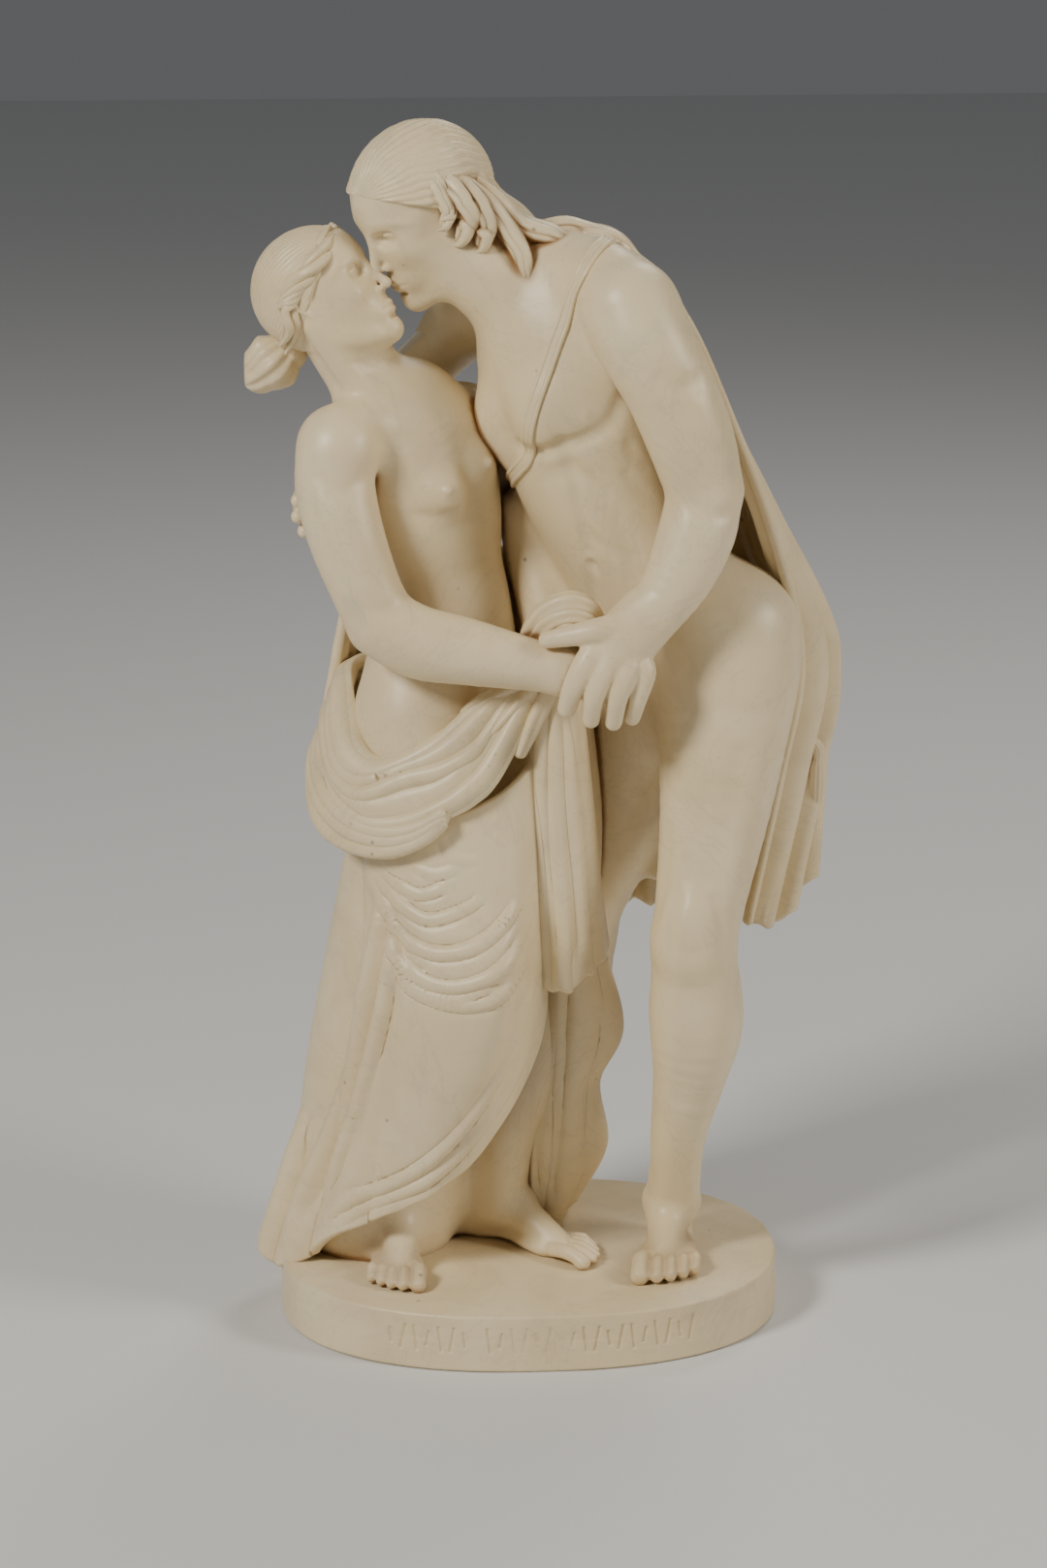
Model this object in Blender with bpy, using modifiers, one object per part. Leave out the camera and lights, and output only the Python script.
"""Classical marble group: a draped figure and a cloaked figure in an embrace, carved with their plinth.

Metres, +Z up. The origin is the middle of the plinth's underside, the plinth's long side lies along X and
the carved strokes are on its -Y face. The whole work is one block of marble, so it is one object.

The figures keep their pose and carving as shares of FIGURE_HEIGHT: their points are written in units of
which there are UNITS in that height, measured from the middle of the plinth's top.
"""

import math

import bmesh
import bpy
import numpy as np
from mathutils import Matrix, Vector

# Driving dimensions, in metres
FIGURE_HEIGHT = 0.743
PLINTH_LENGTH = 0.325
PLINTH_DEPTH = 0.268
PLINTH_HEIGHT = 0.037
PLINTH_EDGE = 0.0015
STROKE_HEIGHT = 0.017
STROKE_WIDTH = 0.0018
STROKE_DEPTH = 0.0012
STROKE_ROW_LENGTH = 0.200

# Shape of the plinth's outline: 2 is an oval, larger is squarer
OUTLINE_POWER = 2.3
OUTLINE_POINTS = 72

# The figures' own units
UNITS = 743
UNIT = FIGURE_HEIGHT / UNITS

# How finely the figures are merged and how many triangles they keep
GRAIN = 2.6 * UNIT
SOFTENING = 3
FIGURE_TRIANGLES = 8700

MARBLE_COLOUR = (0.62, 0.57, 0.44, 1.0)
MARBLE_ROUGHNESS = 0.45

# Each row of a limb is x, y, height above the plinth, radius, in units
LIMBS = {
    "cloaked": [
        [(58, -61, 633, 27), (39, -34, 644, 27), (18, -1, 638, 31), (-7, 32, 629, 27), (-29, 63, 610, 25)],
        [(14, -6, 614, 38), (-14, -4, 638, 32), (-44, 0, 664, 31)],
        [(58, -64, 632, 29), (67, -71, 612, 30), (82, -76, 583, 28), (95, -77, 551, 27), (104, -77, 520, 24)],
        [(104, -77, 520, 23), (99, -81, 495, 24), (87, -86, 467, 21), (70, -90, 441, 16), (58, -91, 427, 16)],
        [(-29, 63, 610, 25), (-49, 80, 590, 23), (-69, 89, 567, 21)],
        [(-69, 89, 567, 20), (-91, 69, 542, 19), (-114, 33, 521, 15), (-127, 9, 510, 13)],
        [(128, -31, 421, 42), (125, -35, 390, 44), (120, -43, 348, 40), (114, -50, 299, 34), (101, -62, 226, 26)],
        [(101, -62, 226, 26), (104, -55, 172, 30), (101, -47, 132, 24), (95, -33, 84, 18), (94, -14, 32, 17)],
        [(92, 19, 384, 41), (77, 27, 337, 40), (57, 41, 275, 34), (41, 52, 223, 27), (36, 55, 199, 25)],
        [(36, 55, 199, 25), (32, 62, 158, 27), (28, 70, 117, 24), (24, 82, 68, 18), (24, 92, 25, 16)],
    ],
    "draped": [
        [(-121, -39, 545, 23), (-102, -18, 551, 24), (-81, 6, 551, 26), (-58, 29, 548, 24), (-38, 50, 542, 22)],
        [(-89, 6, 547, 29), (-101, 2, 576, 24), (-118, -1, 607, 24)],
        [(-121, -40, 544, 25), (-124, -46, 521, 25), (-118, -53, 491, 24), (-106, -55, 457, 22), (-96, -57, 435, 22)],
        [(-96, -57, 435, 22), (-74, -62, 423, 23), (-44, -69, 418, 21), (-9, -77, 412, 17), (18, -82, 408, 15)],
        [(-70, -14, 361, 38), (-58, -32, 292, 38), (-39, -55, 233, 32), (-33, -60, 202, 29)],
        [(-33, -60, 202, 29), (-43, -54, 168, 29), (-60, -46, 121, 25), (-77, -32, 72, 19), (-85, -14, 28, 17)],
        [(-30, 25, 349, 44), (-11, 24, 275, 37), (7, 16, 201, 27)],
        [(7, 16, 201, 27), (8, 13, 159, 26), (0, 6, 115, 21), (-12, 4, 77, 17), (-18, 12, 25, 16)],
        [(-38, 50, 544, 22), (-12, 61, 498, 21), (15, 73, 457, 19)],
        [(15, 73, 457, 19), (40, 78, 446, 17), (72, 75, 437, 15)],
    ],
}

# Trunks are flattened from chest to back: the way the chest faces, then rows as above
TRUNKS = {
    "cloaked": ((-0.75, -0.545, -0.375),
                [(112, -8, 381, 51), (100, -9, 416, 59), (79, -8, 447, 57), (58, -7, 477, 54),
                 (41, -5, 516, 58), (29, -4, 553, 62), (22, -3, 590, 62), (20, -1, 618, 49)]),
    "draped": ((0.65, -0.747, 0.139),
               [(-56, 4, 320, 60), (-55, 4, 358, 61), (-54, 4, 390, 55), (-50, 3, 428, 44),
                (-54, 4, 460, 42), (-61, 4, 497, 49), (-67, 5, 525, 51), (-76, 5, 547, 44)]),
}
TRUNK_FLATNESS = 0.76

# Round forms: x, y, height, then the three radii
ROUNDS = [
    (136, -6, 403, 36, 36, 38),
    (121, 28, 396, 36, 36, 38),
    (-57, -25, 514, 17, 17, 18),
    (-41, -4, 524, 17, 17, 18),
]

# Heads: middle of the skull, way the face looks, height from chin to crown
HEADS = {
    "cloaked": ((-68, 2, 693), (-0.799, -0.356, -0.485), 111),
    "draped": ((-133, 0, 636), (0.793, -0.273, 0.545), 93),
}

# Feet: heel, tip of the big toe, width at the ball, side of the big toe (1 left, -1 right)
FEET = [
    ((98, 22), (82, -87), 48, 1),
    ((31, 118), (2, 28), 46, -1),
    ((-83, 8), (-92, -87), 42, -1),
    ((-34, 32), (46, -43), 40, 1),
]


def at(x, y, z):
    """A point in the figures' units as a place in metres."""
    return Vector((x * UNIT, y * UNIT, PLINTH_HEIGHT + z * UNIT))


def smooth_rows(rows, steps):
    """Catmull-Rom curve through the rows, any number of columns."""
    p = np.array(rows, dtype=float)
    p = np.vstack([2 * p[0] - p[1], p, 2 * p[-1] - p[-2]])
    t = np.linspace(0, 1, steps, endpoint=False)[:, None]
    spans = []
    for a, b, c, d in zip(p[:-3], p[1:-2], p[2:-1], p[3:]):
        spans.append(0.5 * (2 * b + (c - a) * t + (2 * a - 5 * b + 4 * c - d) * t**2
                            + (3 * b - a - 3 * c + d) * t**3))
    spans.append(p[-2:-1])
    return np.vstack(spans)


def blank(name):
    """An empty mesh object in the workshop collection."""
    thing = bpy.data.objects.new(name, bpy.data.meshes.new(name))
    bpy.data.collections["workshop"].objects.link(thing)
    return thing


def loft(name, rings):
    """A closed skin over rings of equal length, with a fan at each end."""
    thing = blank(name)
    bm = bmesh.new()
    loops = [[bm.verts.new(p) for p in ring] for ring in rings]
    count = len(loops[0])
    for low, high in zip(loops[:-1], loops[1:]):
        for i in range(count):
            j = (i + 1) % count
            bm.faces.new((low[i], low[j], high[j], high[i]))
    bm.faces.new(list(reversed(loops[0])))
    bm.faces.new(loops[-1])
    bmesh.ops.recalc_face_normals(bm, faces=bm.faces)
    bm.to_mesh(thing.data)
    bm.free()
    return thing


def tube(name, rows, flat=None, share=1.0, sides=14, steps=4):
    """A limb: rings square to a smooth path, round or flattened along one way, with domed ends."""
    path = smooth_rows(rows, steps)
    places = [at(*row[:3]) for row in path]
    radii = [row[3] * UNIT for row in path]
    first = (places[0] - places[1]).normalized()
    last = (places[-1] - places[-2]).normalized()
    stations = []
    for turn in (75, 45, 15):
        lift = math.radians(turn)
        stations.append((places[0] + first * radii[0] * share * math.sin(lift), radii[0] * math.cos(lift)))
    stations += list(zip(places, radii))
    for turn in (15, 45, 75):
        lift = math.radians(turn)
        stations.append((places[-1] + last * radii[-1] * share * math.sin(lift), radii[-1] * math.cos(lift)))
    guide = Vector(flat).normalized() if flat else None
    rings = []
    side = Vector((1, 0, 0))
    for i, (place, radius) in enumerate(stations):
        ahead = stations[min(i + 1, len(stations) - 1)][0] - stations[max(i - 1, 0)][0]
        ahead.normalize()
        if guide:
            across = guide - ahead * guide.dot(ahead)
        else:
            across = side - ahead * side.dot(ahead)
            if across.length < 0.1:
                across = Vector((0, 1, 0)) - ahead * ahead.y
        across.normalize()
        side = across
        other = ahead.cross(across)
        ring = []
        for k in range(sides):
            turn = 2 * math.pi * k / sides
            ring.append(place + across * (radius * share * math.cos(turn)) + other * (radius * math.sin(turn)))
        rings.append(ring)
    return loft(name, rings)


def axes(face):
    """Side, front and up of a head that looks along face."""
    front = Vector(face).normalized()
    side = front.cross(Vector((0, 0, 1))).normalized()
    up = side.cross(front)
    return side, front, up


def egg(name, middle, radii, turned=None):
    """An ellipsoid, upright or along three given axes; metres."""
    thing = blank(name)
    bm = bmesh.new()
    bmesh.ops.create_uvsphere(bm, u_segments=20, v_segments=12, radius=1.0)
    frame = Matrix(turned).transposed().to_4x4() if turned else Matrix.Identity(4)
    bm.transform(Matrix.Translation(middle) @ frame @ Matrix.Diagonal((*radii, 1.0)))
    bm.to_mesh(thing.data)
    bm.free()
    return thing


# Hands: each row is a finger, thumb or palm
HANDS = [
    [(60, -90, 430, 15), (51, -92, 420, 18), (45, -92, 408, 17)],
    [(30, -94, 416, 6), (26, -98, 399, 6), (24, -93, 383, 5)],
    [(43, -95, 412, 6), (39, -99, 393, 6), (37, -93, 377, 5)],
    [(55, -95, 413, 6), (52, -98, 393, 6), (51, -92, 376, 5)],
    [(65, -93, 416, 6), (63, -97, 398, 6), (62, -92, 382, 5)],
    [(50, -94, 433, 7), (32, -95, 435, 6), (11, -91, 435, 6), (4, -88, 432, 5)],
    [(16, -82, 408, 15), (34, -84, 402, 15)],
    [(-127, 9, 510, 12), (-136, -12, 506, 14), (-142, -28, 503, 8)],
    [(72, 75, 437, 15), (86, 68, 430, 14), (98, 58, 424, 9)],
]

# Rolls of cloth round the hips, and the knot by the hands
ROLLS = [
    [(-23, -46, 385, 6), (-49, -53, 363, 7), (-74, -54, 347, 7), (-99, -43, 337, 7), (-114, -24, 352, 6),
     (-117, 2, 376, 6), (-106, 32, 391, 6), (-75, 58, 391, 5)],
    [(-10, -50, 385, 7), (-26, -58, 357, 9), (-59, -62, 335, 10), (-90, -52, 327, 10), (-114, -30, 334, 10),
     (-122, 0, 357, 9), (-119, 27, 383, 9), (-88, 59, 378, 7)],
    [(-1, -53, 383, 7), (-11, -62, 351, 9), (-32, -68, 325, 10), (-60, -68, 311, 10), (-92, -54, 307, 10),
     (-117, -30, 319, 10), (-127, 3, 341, 9), (-126, 31, 369, 9), (-100, 60, 371, 9)],
    [(3, -53, 372, 6), (-4, -64, 339, 7), (-19, -72, 314, 7), (-44, -74, 300, 7)],
    [(-42, -72, 302, 7), (-71, -68, 290, 9), (-100, -48, 290, 10), (-119, -20, 306, 9), (-126, 8, 330, 8),
     (-127, 28, 357, 8), (-121, 39, 390, 7)],
    [(-57, -64, 286, 6), (-86, -54, 276, 8), (-111, -32, 280, 8), (-127, -6, 296, 8), (-134, 15, 319, 7),
     (-133, 29, 350, 7), (-126, 37, 390, 7), (-117, 34, 433, 6)],
    [(-6, -50, 414, 9), (2, -64, 428, 8), (13, -75, 437, 8), (27, -77, 434, 8), (34, -76, 424, 8)],
]

# Cloths: columns from one edge to the other, each from the top down to the hem
SKIRT = [
    [(0, -50, 345), (2, -44, 285), (5, -40, 230), (9, -36, 196)],
    [(-10, -58, 335), (-6, -60, 270), (-6, -62, 205), (0, -38, 142)],
    [(-28, -64, 322), (-22, -74, 262), (-24, -92, 200), (-33, -54, 88)],
    [(-54, -66, 312), (-52, -78, 258), (-48, -92, 195), (-68, -66, 60)],
    [(-82, -56, 312), (-82, -66, 255), (-78, -80, 190), (-96, -60, 44)],
    [(-102, -34, 316), (-102, -38, 255), (-106, -50, 190), (-124, -42, 26)],
    [(-106, -8, 324), (-103, -8, 262), (-111, -10, 190), (-160, -10, -8)],
    [(-106, 16, 332), (-104, 18, 268), (-113, 22, 190), (-174, 16, 0)],
    [(-96, 44, 338), (-96, 50, 272), (-102, 60, 190), (-148, 58, 0)],
    [(-72, 60, 342), (-76, 68, 276), (-80, 80, 190), (-108, 90, 0)],
    [(-40, 62, 345), (-42, 72, 276), (-42, 82, 190), (-52, 94, 0)],
    [(-10, 54, 345), (-8, 64, 276), (-4, 72, 190), (-2, 76, 0)],
    [(10, 34, 345), (12, 42, 276), (18, 48, 190), (22, 50, 0)],
]
PLEATS = [
    [(-6, -48, 398), (0, -50, 320), (4, -46, 250), (8, -40, 191)],
    [(2, -58, 400), (9, -58, 320), (15, -54, 250), (19, -48, 188)],
    [(14, -60, 400), (22, -58, 320), (28, -50, 250), (33, -42, 196)],
    [(24, -54, 398), (33, -48, 320), (40, -36, 250), (46, -22, 204)],
    [(26, -38, 396), (34, -28, 320), (42, -14, 250), (48, 0, 206)],
]
FALL = [
    [(6, -10, 205), (6, -8, 160), (4, -2, 110), (2, 6, 60), (4, 14, 20)],
    [(28, -16, 205), (30, -14, 160), (26, -10, 110), (24, 0, 60), (16, 10, 14)],
    [(47, -5, 198), (57, -6, 150), (42, 0, 112), (48, 8, 66), (28, 14, 24)],
    [(36, 16, 210), (44, 18, 160), (38, 22, 110), (38, 26, 60), (26, 30, 20)],
    [(12, 34, 210), (16, 38, 160), (18, 40, 110), (18, 42, 60), (16, 44, 10)],
]
CLOAK = [
    [(66, -56, 650), (92, -54, 618), (118, -48, 560), (148, -42, 480), (166, -30, 400), (157, -14, 320), (139, -6, 220)],
    [(54, -34, 664), (82, -20, 636), (110, -10, 575), (152, -4, 490), (192, 6, 400), (182, 6, 320), (162, 8, 216)],
    [(36, -10, 668), (72, 12, 640), (108, 22, 575), (152, 26, 490), (192, 26, 388), (186, 22, 320), (182, 20, 246)],
    [(18, 14, 664), (56, 38, 636), (92, 50, 575), (132, 56, 490), (165, 58, 400), (164, 54, 320), (154, 50, 226)],
    [(-2, 38, 654), (28, 62, 622), (62, 80, 560), (96, 88, 480), (118, 92, 400), (118, 92, 320), (110, 92, 206)],
    [(-22, 62, 636), (0, 76, 598), (22, 90, 545), (44, 100, 470), (60, 104, 390), (62, 104, 310), (56, 84, 212)],
]
MANTLE = [
    [(-112, 16, 450), (-122, 28, 392), (-130, 24, 330), (-122, 2, 290)],
    [(-98, 36, 453), (-112, 50, 390), (-122, 46, 330), (-114, 38, 280)],
    [(-74, 46, 457), (-88, 64, 390), (-96, 68, 330), (-94, 66, 262)],
    [(-46, 48, 460), (-50, 68, 390), (-54, 76, 330), (-54, 76, 250)],
    [(-18, 40, 462), (-14, 60, 390), (-12, 70, 330), (-12, 68, 262)],
    [(4, 20, 462), (14, 36, 390), (18, 46, 330), (16, 44, 272)],
]

# Solid stone under the cloths
CORES = [
    [(-60, 6, 350, 52), (-66, 12, 280, 52), (-74, 16, 200, 58), (-88, 20, 110, 60), (-98, 22, 20, 58)],
    [(-40, 30, 300, 40), (-34, 40, 200, 42), (-34, 44, 110, 42), (-36, 46, 20, 42)],
    [(20, 6, 380, 20), (24, 6, 300, 26), (26, 8, 210, 22)],
    [(110, 24, 380, 40), (106, 34, 320, 36), (98, 44, 255, 26)],
    [(-4, 30, 488, 14), (8, 24, 450, 22), (20, 10, 410, 24)],
]

# Long locks: x, y, height, radius
LOCKS = [
    [(-40, 2, 690, 22), (-22, 4, 676, 18), (2, 6, 668, 12), (28, 8, 671, 10), (56, 6, 663, 9), (80, 4, 646, 7)],
    [(-38, 16, 688, 20), (-16, 24, 672, 17), (12, 28, 660, 14), (36, 24, 650, 10)],
    [(-42, -20, 696, 12), (-24, -26, 684, 10), (-10, -30, 668, 8), (-3, -30, 654, 7), (9, -28, 642, 5)],
    [(-32, -14, 692, 13), (-8, -18, 678, 11), (14, -18, 670, 8), (36, -20, 662, 6)],
]


def thread(columns, across, down):
    """A grid of points: Catmull-Rom curves down each column, then across the columns."""
    downs = [smooth_rows(column, down) for column in columns]
    lines = [smooth_rows([column[i] for column in downs], across) for i in range(len(downs[0]))]
    return np.array(lines)


def cloth(name, columns, folds, depth, thickness, across=7, down=5, slack=0.0):
    """A hanging cloth: the grid of its columns, pushed out and in along its normal by folds that deepen downwards."""
    grid = thread(columns, across, down)
    rows, lines = grid.shape[:2]
    along = np.gradient(grid, axis=1)
    fall = np.gradient(grid, axis=0)
    out = np.cross(along, fall)
    out /= np.linalg.norm(out, axis=2)[:, :, None]
    s = np.linspace(0, 1, lines)[None, :]
    t = np.linspace(0, 1, rows)[:, None]
    wave = np.cos(2 * math.pi * (folds * s + slack * t))
    wave = np.sign(wave) * np.abs(wave) ** 0.8
    grid = grid + out * (wave * depth * (0.25 + 0.75 * t))[:, :, None]
    sheet = blank(name)
    bm = bmesh.new()
    net = [[bm.verts.new(at(*point)) for point in row] for row in grid]
    for top, low in zip(net[:-1], net[1:]):
        for i in range(lines - 1):
            bm.faces.new((top[i], low[i], low[i + 1], top[i + 1]))
    bm.to_mesh(sheet.data)
    bm.free()
    wall = sheet.modifiers.new("wall", "SOLIDIFY")
    wall.thickness = thickness * UNIT
    wall.offset = 0
    return sheet


def head(who):
    """Skull, face, ears and neck of a head as shares of its height from chin to crown."""
    middle, face, height = HEADS[who]
    turned = axes(face)

    def spot(x, y, z):
        shift = (turned[0] * x + turned[1] * y + turned[2] * z) * height
        return tuple(middle[i] + shift[i] for i in range(3))

    def lump(part, place, radii):
        egg(f"{who} {part}", at(*spot(*place)), [r * height * UNIT for r in radii], turned)

    def ridge(part, rows, flat=None, share=1.0):
        tube(f"{who} {part}", [(*spot(*row[:3]), row[3] * height) for row in rows], flat, share, 10, 3)

    lump("skull", (0, -0.03, 0.01), (0.31, 0.40, 0.375))
    lump("face", (0, 0.13, -0.24), (0.245, 0.235, 0.30))
    lump("chin", (0, 0.27, -0.48), (0.095, 0.085, 0.08))
    for side in (-1, 1):
        ridge("jaw", [(side * 0.24, -0.04, -0.18, 0.07), (side * 0.22, 0.0, -0.36, 0.07),
                      (side * 0.05, 0.25, -0.49, 0.06)])
        lump("cheek", (side * 0.14, 0.22, -0.19), (0.10, 0.10, 0.12))
        lump("ear", (side * 0.32, -0.02, -0.14), (0.035, 0.07, 0.11))
        ridge("brow", [(side * 0.22, 0.26, 0.0, 0.05), (side * 0.10, 0.335, 0.03, 0.045), (0, 0.35, 0.02, 0.04)])
        lump("eye", (side * 0.125, 0.275, -0.07), (0.065, 0.05, 0.045))
    ridge("nose", [(0, 0.35, 0.0, 0.04), (0, 0.385, -0.12, 0.042), (0, 0.41, -0.23, 0.055)])
    ridge("lips", [(-0.09, 0.325, -0.365, 0.025), (0, 0.365, -0.355, 0.045), (0.09, 0.325, -0.365, 0.025)])
    return spot, lump, ridge


def hair_of_cloaked():
    """A close cap with a parting, side locks and long locks that fall to the shoulder."""
    spot, lump, ridge = head("cloaked")
    lump("cap", (0, -0.05, 0.03), (0.345, 0.405, 0.39))
    for side in (-1, 1):
        ridge("side lock", [(side * 0.20, 0.24, 0.22, 0.05), (side * 0.30, 0.12, 0.10, 0.07),
                            (side * 0.32, -0.02, -0.12, 0.09), (side * 0.30, -0.12, -0.32, 0.10)])
    ridge("nape", [(0, -0.28, -0.04, 0.17), (0, -0.31, -0.22, 0.17), (0, -0.32, -0.40, 0.16)])
    for number, rows in enumerate(LOCKS):
        tube(f"lock {number}", rows)


def hair_of_draped():
    """A smooth cap with a rolled band over each ear and a bun at the nape."""
    spot, lump, ridge = head("draped")
    lump("cap", (0, -0.06, 0.04), (0.34, 0.415, 0.385))
    for side in (-1, 1):
        ridge("roll", [(side * 0.04, 0.30, 0.25, 0.05), (side * 0.20, 0.24, 0.16, 0.07),
                       (side * 0.34, 0.06, -0.02, 0.09), (side * 0.32, -0.16, -0.16, 0.08),
                       (side * 0.14, -0.38, -0.20, 0.08)])
    lump("bun", (0, -0.55, -0.24), (0.18, 0.16, 0.20))


def foot(name, heel, tip, width, big_side):
    """Sole, instep and five toes along the line from heel to big toe."""
    heel = np.array(heel, dtype=float)
    line = np.array(tip, dtype=float) - heel
    length = np.linalg.norm(line)
    ahead = line / length
    left = np.array([ahead[1], -ahead[0]]) * big_side
    half = width / 2

    def row(share, aside, height, radius):
        place = heel + ahead * (share * length) + left * (aside * half)
        return (*place, height * half, radius * half)

    up = (0, 0, 1)
    tube(f"{name} sole", [row(0.12, 0, 0.32, 0.60), row(0.35, -0.12, 0.34, 0.60), row(0.62, -0.05, 0.32, 0.80),
                          row(0.76, -0.08, 0.28, 0.80)], up, 0.5)
    tube(f"{name} instep", [row(0.16, 0, 1.1, 0.72), row(0.40, 0.1, 1.0, 0.66), row(0.62, 0.15, 0.60, 0.56)])
    for toe in range(5):
        aside = 0.62 - 0.34 * toe - (0.1 if toe else 0)
        start = 0.76 - 0.035 * toe
        reach = start + 0.22 - 0.012 * toe
        radius = 0.25 if toe == 0 else 0.18 - 0.01 * toe
        tube(f"{name} toe {toe}", [row(start, aside * 0.9, 0.34, radius), row(reach - 0.08, aside, 0.36, radius),
                                   row(reach - 0.02, aside, 0.20, radius * 0.9)], sides=8, steps=2)


def outline(length, depth, turn):
    """A point of the plinth's rounded outline."""
    power = 2 / OUTLINE_POWER
    x = length / 2 * math.copysign(abs(math.cos(turn)) ** power, math.cos(turn))
    y = depth / 2 * math.copysign(abs(math.sin(turn)) ** power, math.sin(turn))
    return x, y


def make_plinth():
    """The low plinth, its edges eased, with a row of shallow strokes cut in the front."""
    plinth = blank("plinth")
    bm = bmesh.new()
    ring = [outline(PLINTH_LENGTH, PLINTH_DEPTH, 2 * math.pi * i / OUTLINE_POINTS) for i in range(OUTLINE_POINTS)]
    foot_print = bm.faces.new([bm.verts.new((x, y, 0)) for x, y in ring])
    raised = bmesh.ops.extrude_face_region(bm, geom=[foot_print])
    top = [item for item in raised["geom"] if isinstance(item, bmesh.types.BMVert)]
    bmesh.ops.translate(bm, verts=top, vec=(0, 0, PLINTH_HEIGHT))
    bmesh.ops.recalc_face_normals(bm, faces=bm.faces)
    bm.to_mesh(plinth.data)
    bm.free()
    ease = plinth.modifiers.new("eased edge", "BEVEL")
    ease.width = PLINTH_EDGE
    ease.segments = 1
    ease.limit_method = "ANGLE"
    ease.angle_limit = math.radians(60)
    cut = plinth.modifiers.new("strokes", "BOOLEAN")
    cut.operation = "DIFFERENCE"
    cut.object = make_strokes()
    return plinth


def make_strokes():
    """Cutters for the strokes: three groups of leaning dashes, no two of which touch."""
    cutter = blank("stroke cutters")
    bm = bmesh.new()
    count = 26
    gaps = (7, 14)
    for i in range(count):
        if i in gaps:
            continue
        x = STROKE_ROW_LENGTH * ((i + 0.5) / count - 0.5)
        share = min(abs(x) / (PLINTH_LENGTH / 2), 1)
        y = -PLINTH_DEPTH / 2 * (1 - share**OUTLINE_POWER) ** (1 / OUTLINE_POWER)
        slope = PLINTH_DEPTH / PLINTH_LENGTH * share ** (OUTLINE_POWER - 1)
        slope /= (1 - share**OUTLINE_POWER) ** (1 - 1 / OUTLINE_POWER)
        turn = math.atan(math.copysign(slope, x))
        tall = STROKE_HEIGHT * (1 if i % 3 else 0.62)
        lean = math.radians(11 if i % 2 else -7)
        place = Matrix.Translation((x, y, PLINTH_HEIGHT * 0.56)) @ Matrix.Rotation(turn, 4, "Z")
        place = place @ Matrix.Rotation(lean, 4, "Y") @ Matrix.Diagonal((STROKE_WIDTH, 2 * STROKE_DEPTH, tall, 1))
        bmesh.ops.create_cube(bm, size=1.0, matrix=place)
    bm.to_mesh(cutter.data)
    bm.free()
    cutter.hide_render = True
    cutter.display_type = "WIRE"
    return cutter


def evaluated(thing):
    """A new mesh of the object with its modifiers done."""
    graph = bpy.context.evaluated_depsgraph_get()
    return bpy.data.meshes.new_from_object(thing.evaluated_get(graph))


def gathered(things):
    """One mesh of the evaluated meshes of many objects."""
    bm = bmesh.new()
    for thing in things:
        mesh = evaluated(thing)
        bm.from_mesh(mesh)
        bpy.data.meshes.remove(mesh)
    whole = bpy.data.meshes.new("figures")
    bm.to_mesh(whole)
    bm.free()
    return whole


def largest_body(mesh):
    """Drops the crumbs that merging leaves beside the one large body, and returns its triangle count."""
    bm = bmesh.new()
    bm.from_mesh(mesh)
    unseen = set(bm.verts)
    bodies = []
    while unseen:
        body = {unseen.pop()}
        edge = list(body)
        while edge:
            near = {link.other_vert(vert) for vert in edge for link in vert.link_edges}
            edge = [vert for vert in near if vert in unseen]
            unseen.difference_update(edge)
            body.update(edge)
        bodies.append(body)
    bodies.sort(key=len)
    crumbs = [vert for body in bodies[:-1] for vert in body]
    bmesh.ops.delete(bm, geom=crumbs, context="VERTS")
    count = sum(len(face.verts) - 2 for face in bm.faces)
    bm.to_mesh(mesh)
    bm.free()
    return count


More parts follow.
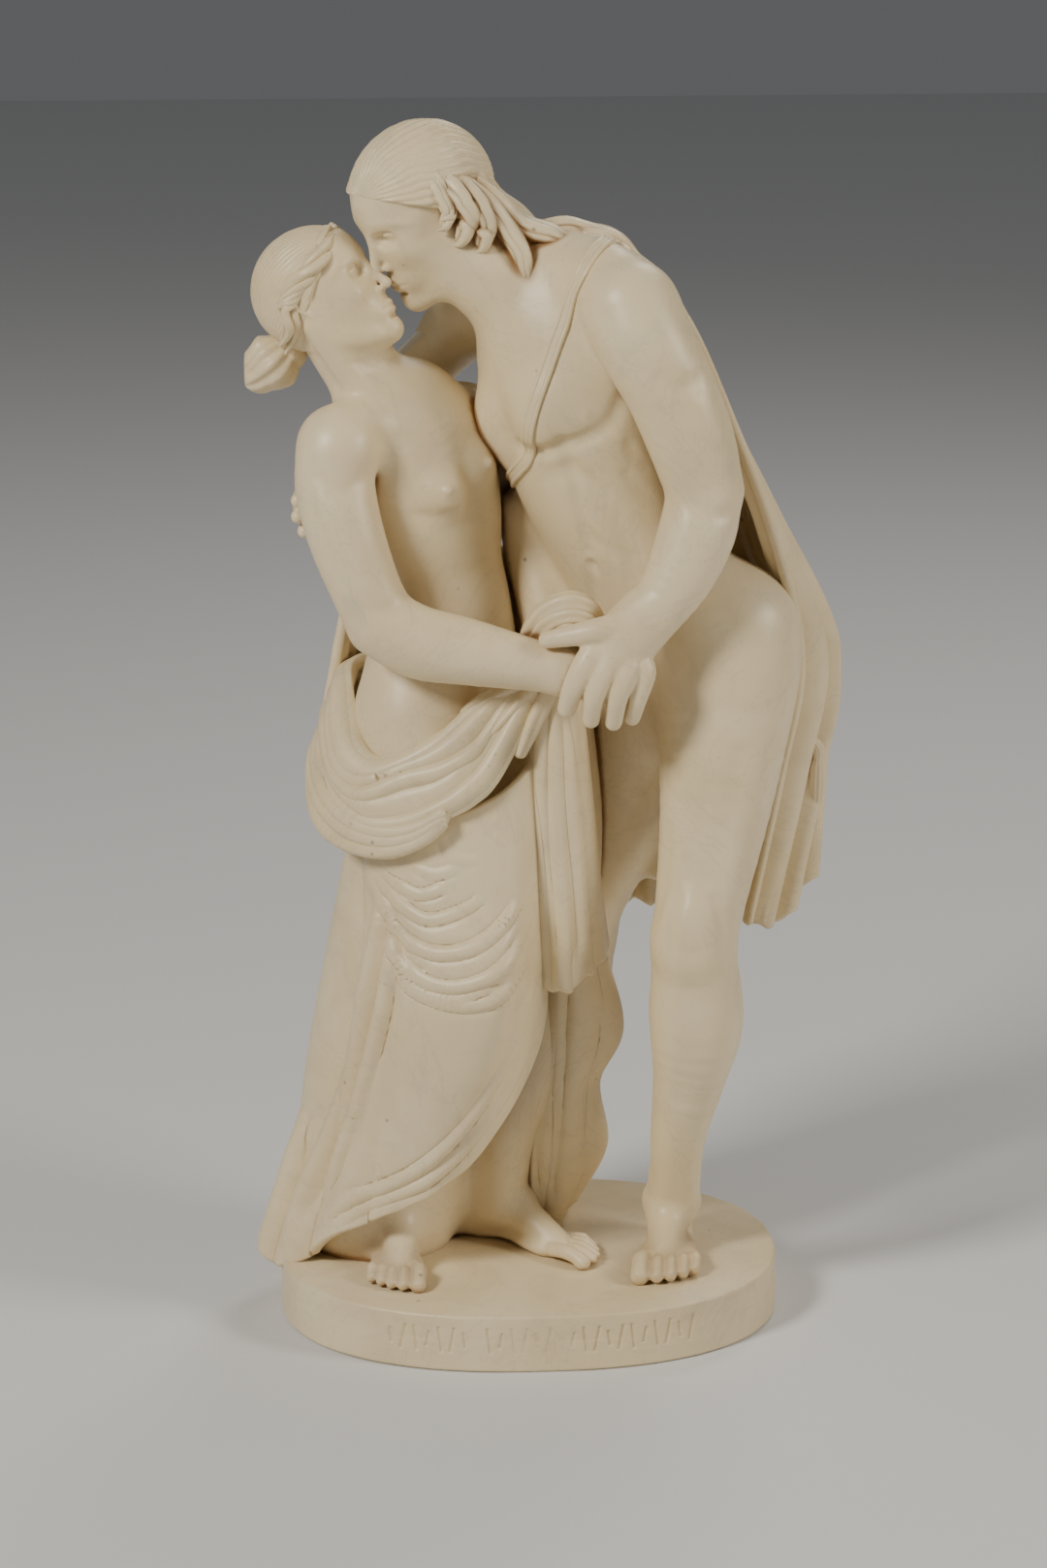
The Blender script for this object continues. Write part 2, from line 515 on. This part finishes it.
def main():
    for thing in list(bpy.data.objects):
        bpy.data.objects.remove(thing)
    scene = bpy.context.scene
    statue = bpy.data.collections.new("classical_marble_statue")
    workshop = bpy.data.collections.new("workshop")
    scene.collection.children.link(statue)
    scene.collection.children.link(workshop)

    for who, limbs in LIMBS.items():
        for number, rows in enumerate(limbs):
            tube(f"{who} limb {number}", rows)
        facing, rows = TRUNKS[who]
        tube(f"{who} trunk", rows, facing, TRUNK_FLATNESS, sides=20)
    for number, form in enumerate(ROUNDS):
        egg(f"round {number}", at(*form[:3]), [r * UNIT for r in form[3:]])
    for number, shape in enumerate(FEET):
        foot(f"foot {number}", *shape)
    for number, rows in enumerate(HANDS):
        tube(f"hand {number}", rows, sides=10, steps=3)
    for number, rows in enumerate(ROLLS):
        tube(f"roll {number}", rows, sides=10)
    for number, rows in enumerate(CORES):
        tube(f"core {number}", rows)
    hair_of_cloaked()
    hair_of_draped()
    cloth("skirt", SKIRT, 13, 3.0, 8)
    cloth("pleats", PLEATS, 5, 4.0, 8)
    cloth("fall", FALL, 3, 3.0, 8)
    cloth("cloak", CLOAK, 7, 4.5, 9)
    cloth("mantle", MANTLE, 6, 3.5, 9)

    rough = blank("rough figures")
    rough.data = gathered([thing for thing in workshop.objects if thing is not rough])
    merge = rough.modifiers.new("merge", "REMESH")
    merge.mode = "VOXEL"
    merge.voxel_size = GRAIN
    merge.adaptivity = 0
    soften = rough.modifiers.new("soften", "SMOOTH")
    soften.factor = 0.5
    soften.iterations = SOFTENING
    figures = bpy.data.objects.new("marble_group", evaluated(rough))
    statue.objects.link(figures)
    fine = largest_body(figures.data)
    thin = figures.modifiers.new("fewer faces", "DECIMATE")
    thin.ratio = FIGURE_TRIANGLES / fine
    join = figures.modifiers.new("plinth", "BOOLEAN")
    join.operation = "UNION"
    join.object = make_plinth()

    marble = bpy.data.materials.new("aged white marble")
    marble.use_nodes = True
    surface = marble.node_tree.nodes["Principled BSDF"]
    surface.inputs["Base Color"].default_value = MARBLE_COLOUR
    surface.inputs["Roughness"].default_value = MARBLE_ROUGHNESS
    surface.inputs["Metallic"].default_value = 0.0
    figures.data.materials.clear()
    figures.data.materials.append(marble)
    for thing in workshop.objects:
        thing.hide_render = True
        thing.display_type = "WIRE"


main()
